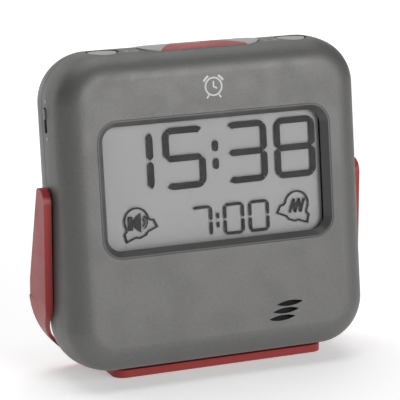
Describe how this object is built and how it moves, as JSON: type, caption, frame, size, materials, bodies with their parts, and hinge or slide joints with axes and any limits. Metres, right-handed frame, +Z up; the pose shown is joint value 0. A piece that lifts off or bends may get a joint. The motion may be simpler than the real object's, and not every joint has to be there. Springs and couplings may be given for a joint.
{
  "type": "alarm clock",
  "caption": "Digital travel alarm clock: a rounded case with a display and top keys, tilting between the arms of a U-shaped stand.",
  "frame": {"origin": "centre of the bounding box in plan, on the surface the stand's pads rest on", "axes": "+X to the right of someone facing the display, +Y from the display to the back, +Z up"},
  "size_m": [0.087, 0.0364, 0.0827],
  "materials": {
    "case_front": "fine metallic speckle, satin",
    "case_rear": "satin",
    "bezel": "smooth, slightly glossy",
    "window": "clear, polished",
    "display": "grey reflective display cell, polished",
    "light_guide": "milky, smooth",
    "contact_rubber": "striped elastomer, matt",
    "circuit_board": "solder mask, satin",
    "switch_black": "satin",
    "key_grey": "satin",
    "cap_red": "satin",
    "stand_red": "fine grain, satin",
    "knob_grey": "satin",
    "mesh_cloth": "woven, matt",
    "speaker_metal": "stamped steel, satin",
    "cell_sleeve": "printed sleeve over metal, satin",
    "spring_steel": "nickel plated wire",
    "contact_metal": "nickel plated strip",
    "rear_rubber": "matt",
    "motor_steel": "drawn steel",
    "weight_metal": "sintered, dull",
    "cradle_black": "satin",
    "screw_steel": "blackened steel",
    "bush_black": "slippery acetal, satin",
    "pad_rubber": "matt"
  },
  "bodies": {
    "stand": {"stand_bracket": "stand_red", "foot_pad_front": "pad_rubber", "foot_pad_rear": "pad_rubber"},
    "case": {"front_shell": "case_front", "rear_shell": "case_rear", "window_bezel": "bezel", "display_window": "window", "lcd_glass": "display", "backlight_guide": "light_guide", "display_contact_strip": "contact_rubber", "main_board": "circuit_board", "key_board": "circuit_board", "left_key_switch": "switch_black", "snooze_switch": "switch_black", "right_key_switch": "switch_black", "slide_switch": "switch_black", "sound_mesh": "mesh_cloth", "speaker": "speaker_metal", "battery_1": "cell_sleeve", "battery_2": "cell_sleeve", "battery_spring_1": "spring_steel", "battery_spring_2": "spring_steel", "contact_left": "contact_metal", "contact_right": "contact_metal", "rear_switches": "switch_black", "vibration_motor": "motor_steel", "motor_cradle": "cradle_black", "case_screws": "screw_steel", "pivot_bush_left": "bush_black", "pivot_bush_right": "bush_black"},
    "snooze_key": {"snooze_bar": "key_grey", "snooze_cap": "cap_red"},
    "left_key": {"left_button": "key_grey"},
    "right_key": {"right_button": "key_grey"},
    "slider": {"slide_knob": "knob_grey"},
    "rear_left_key": {"rear_key_left": "rear_rubber"},
    "rear_middle_key": {"rear_key_middle": "rear_rubber"},
    "rear_right_key": {"rear_key_right": "rear_rubber"},
    "battery_cover": {"battery_door": "case_rear"},
    "motor_rotor": {"motor_weight": "weight_metal"}
  },
  "joints": [
    {"name": "case_tilt", "type": "hinge", "parent": "stand", "child": "case", "pos_m": [0, -0.00218, 0.04655], "axis": [-1, 0, 0], "range_deg": [0, 82.5]},
    {"name": "snooze_press", "type": "slide", "parent": "case", "child": "snooze_key", "axis": [0, -0.1305, -0.9914], "range_m": [0, 0.0005], "stiffness_N_per_m": 800},
    {"name": "left_press", "type": "slide", "parent": "case", "child": "left_key", "axis": [0, -0.1305, -0.9914], "range_m": [0, 0.0005], "stiffness_N_per_m": 500},
    {"name": "right_press", "type": "slide", "parent": "case", "child": "right_key", "axis": [0, -0.1305, -0.9914], "range_m": [0, 0.0005], "stiffness_N_per_m": 500},
    {"name": "rear_left_press", "type": "slide", "parent": "case", "child": "rear_left_key", "axis": [0, -0.9914, 0.1305], "range_m": [0, 0.0005], "stiffness_N_per_m": 500},
    {"name": "rear_middle_press", "type": "slide", "parent": "case", "child": "rear_middle_key", "axis": [0, -0.9914, 0.1305], "range_m": [0, 0.0005], "stiffness_N_per_m": 500},
    {"name": "rear_right_press", "type": "slide", "parent": "case", "child": "rear_right_key", "axis": [0, -0.9914, 0.1305], "range_m": [0, 0.0005], "stiffness_N_per_m": 500},
    {"name": "alarm_slide", "type": "slide", "parent": "case", "child": "slider", "axis": [0, -0.1305, -0.9914], "range_m": [0, 0.003]},
    {"name": "cover_lift", "type": "slide", "parent": "case", "child": "battery_cover", "axis": [0, 0.9914, -0.1305], "range_m": [0, 0.03]},
    {"name": "motor_spin", "type": "hinge", "parent": "case", "child": "motor_rotor", "pos_m": [-0.01, 0.0035, 0.04374], "axis": [1, 0, 0], "continuous": true}
  ]
}
